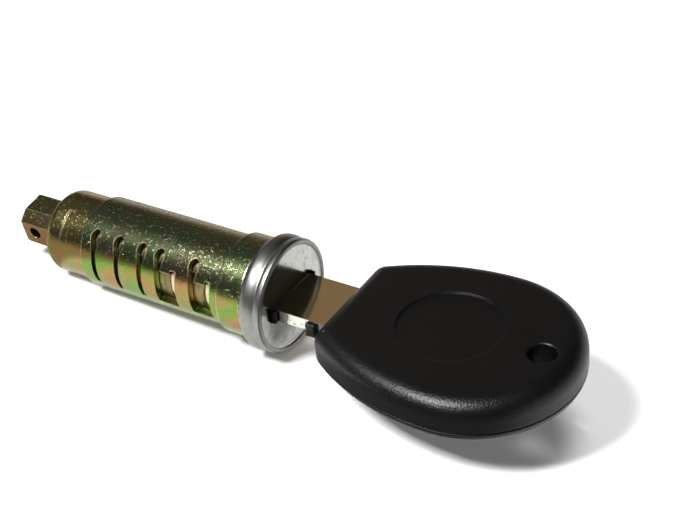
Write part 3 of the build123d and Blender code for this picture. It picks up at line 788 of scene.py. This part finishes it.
# %% [markdown]
# ## The tent
# Polished metal shows its surroundings. A panorama of a studio could surround the lock, but
# its details would show on the tube, and it could not be bent to fit. So the tent is drawn with
# a few colour ramps, by direction. In front it is dim, which keeps the tube dark above its
# middle. Behind, a narrow stripe hangs in the directions that the tube's top and the blade
# mirror: white and rosy low down, tan above, dark overhead. The rest of the back wall is white
# close to the floor and nearly black above. The camera itself sees plain white.

# %% The tent's walls and roof
FRONT_STOPS = [  # z of the direction: colour
    (0.00, (0.075, 0.080, 0.090)),
    (0.45, (0.075, 0.080, 0.092)),
    (0.75, (0.120, 0.125, 0.135)),
    (0.90, (0.050, 0.055, 0.060)),
]
STRIPE_STOPS = [
    (0.10, (0.92, 0.90, 0.90)),
    (0.19, (0.66, 0.34, 0.36)),
    (0.38, (0.24, 0.15, 0.13)),
    (0.62, (0.205, 0.155, 0.102)),
    (0.73, (0.205, 0.155, 0.102)),
    (0.84, (0.03, 0.03, 0.03)),
]
BACKDROP_STOPS = [(0.14, (0.92, 0.92, 0.90)), (0.30, (0.014, 0.014, 0.014))]
STRIPE_RIGHT, STRIPE_LEFT = (-0.34, -0.41), (-0.62, -0.54)
BELOW_HORIZON, BELOW_GREY = (-0.20, -0.45), (0.26, 0.26, 0.26)
BEHIND, WALL_TURN = (0.05, 0.30), 0.5
CAMERA_WHITE = (1.0, 1.0, 1.0)


def make_sky():
    """Front and back walls, parted near where y plus half of x is 0 and shaded by the height z."""
    world = bpy.data.worlds.new("tent")
    bpy.context.scene.world = world
    world.use_nodes = True
    tree = world.node_tree
    direction = new_node(tree, "ShaderNodeTexCoord", "direction").outputs["Generated"]
    x, y, z = components(tree, direction)
    below = fade(tree, z, *BELOW_HORIZON)
    front = mix_colours(tree, below, ramp(tree, z, FRONT_STOPS), BELOW_GREY)
    stripe = times(tree, fade(tree, x, *STRIPE_RIGHT), fade(tree, x, *STRIPE_LEFT))
    backdrop, warm = ramp(tree, z, BACKDROP_STOPS), ramp(tree, z, STRIPE_STOPS)
    back_wall = mix_colours(tree, stripe, backdrop, warm)
    depth = math_node(tree, "ADD", y, times(tree, x, WALL_TURN))
    tent = mix_colours(tree, fade(tree, depth, *BEHIND), front, back_wall)
    ray = new_node(tree, "ShaderNodeLightPath", "ray").outputs
    shade = tree.nodes["Background"].inputs
    feed(tree, mix_colours(tree, ray["Is Camera Ray"], tent, CAMERA_WHITE), shade["Color"])
    shade["Strength"].default_value = 1.0
    return world


print("surroundings:", make_sky().name)

# %% [markdown]
# A soft box in front and to the left draws the highlights on the bow's shoulder and the head's
# lip. A larger one overhead fills the shadows. It is left out of reflections, where it would
# put a second highlight on everything.

# %% Lamps
LAMP_AIM, LAMP_DISTANCE = Vector((5.0, 0.0, 0.0)) * MM, 0.6


def add_lamp(name, direction, size, watts):
    """A rectangular soft box, turned towards the lock's middle."""
    lamp = bpy.data.lights.new(name, "AREA")
    lamp.shape = "RECTANGLE"
    lamp.size, lamp.size_y = size
    lamp.energy = watts
    box = bpy.data.objects.new(name, lamp)
    toward = Vector(direction).normalized()
    box.location = LAMP_AIM + toward * LAMP_DISTANCE
    box.rotation_mode = "QUATERNION"
    box.rotation_quaternion = toward.to_track_quat("Z", "Y")
    bpy.context.scene.collection.objects.link(box)
    return box


add_lamp("key light", (-0.19, -0.61, 0.77), (0.12, 0.14), 5.8)
ceiling = add_lamp("top light", (0.10, 0.16, 0.98), (0.30, 0.30), 2.4)
ceiling.visible_glossy = False
print("lamps:", [light.name for light in bpy.data.lights])

# %% [markdown]
# ## The size
# Both boxes are printed: the model's, and the picture's, which leaves out the floor and the
# sheets. Nothing here may reach outside the model's box.

# %% Print the sizes
visual_low, visual_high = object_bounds()
visual_mm = [round((high - low) / MM, 1) for low, high in zip(visual_low, visual_high)]
print("size in mm, model and picture:", size_mm, visual_mm)
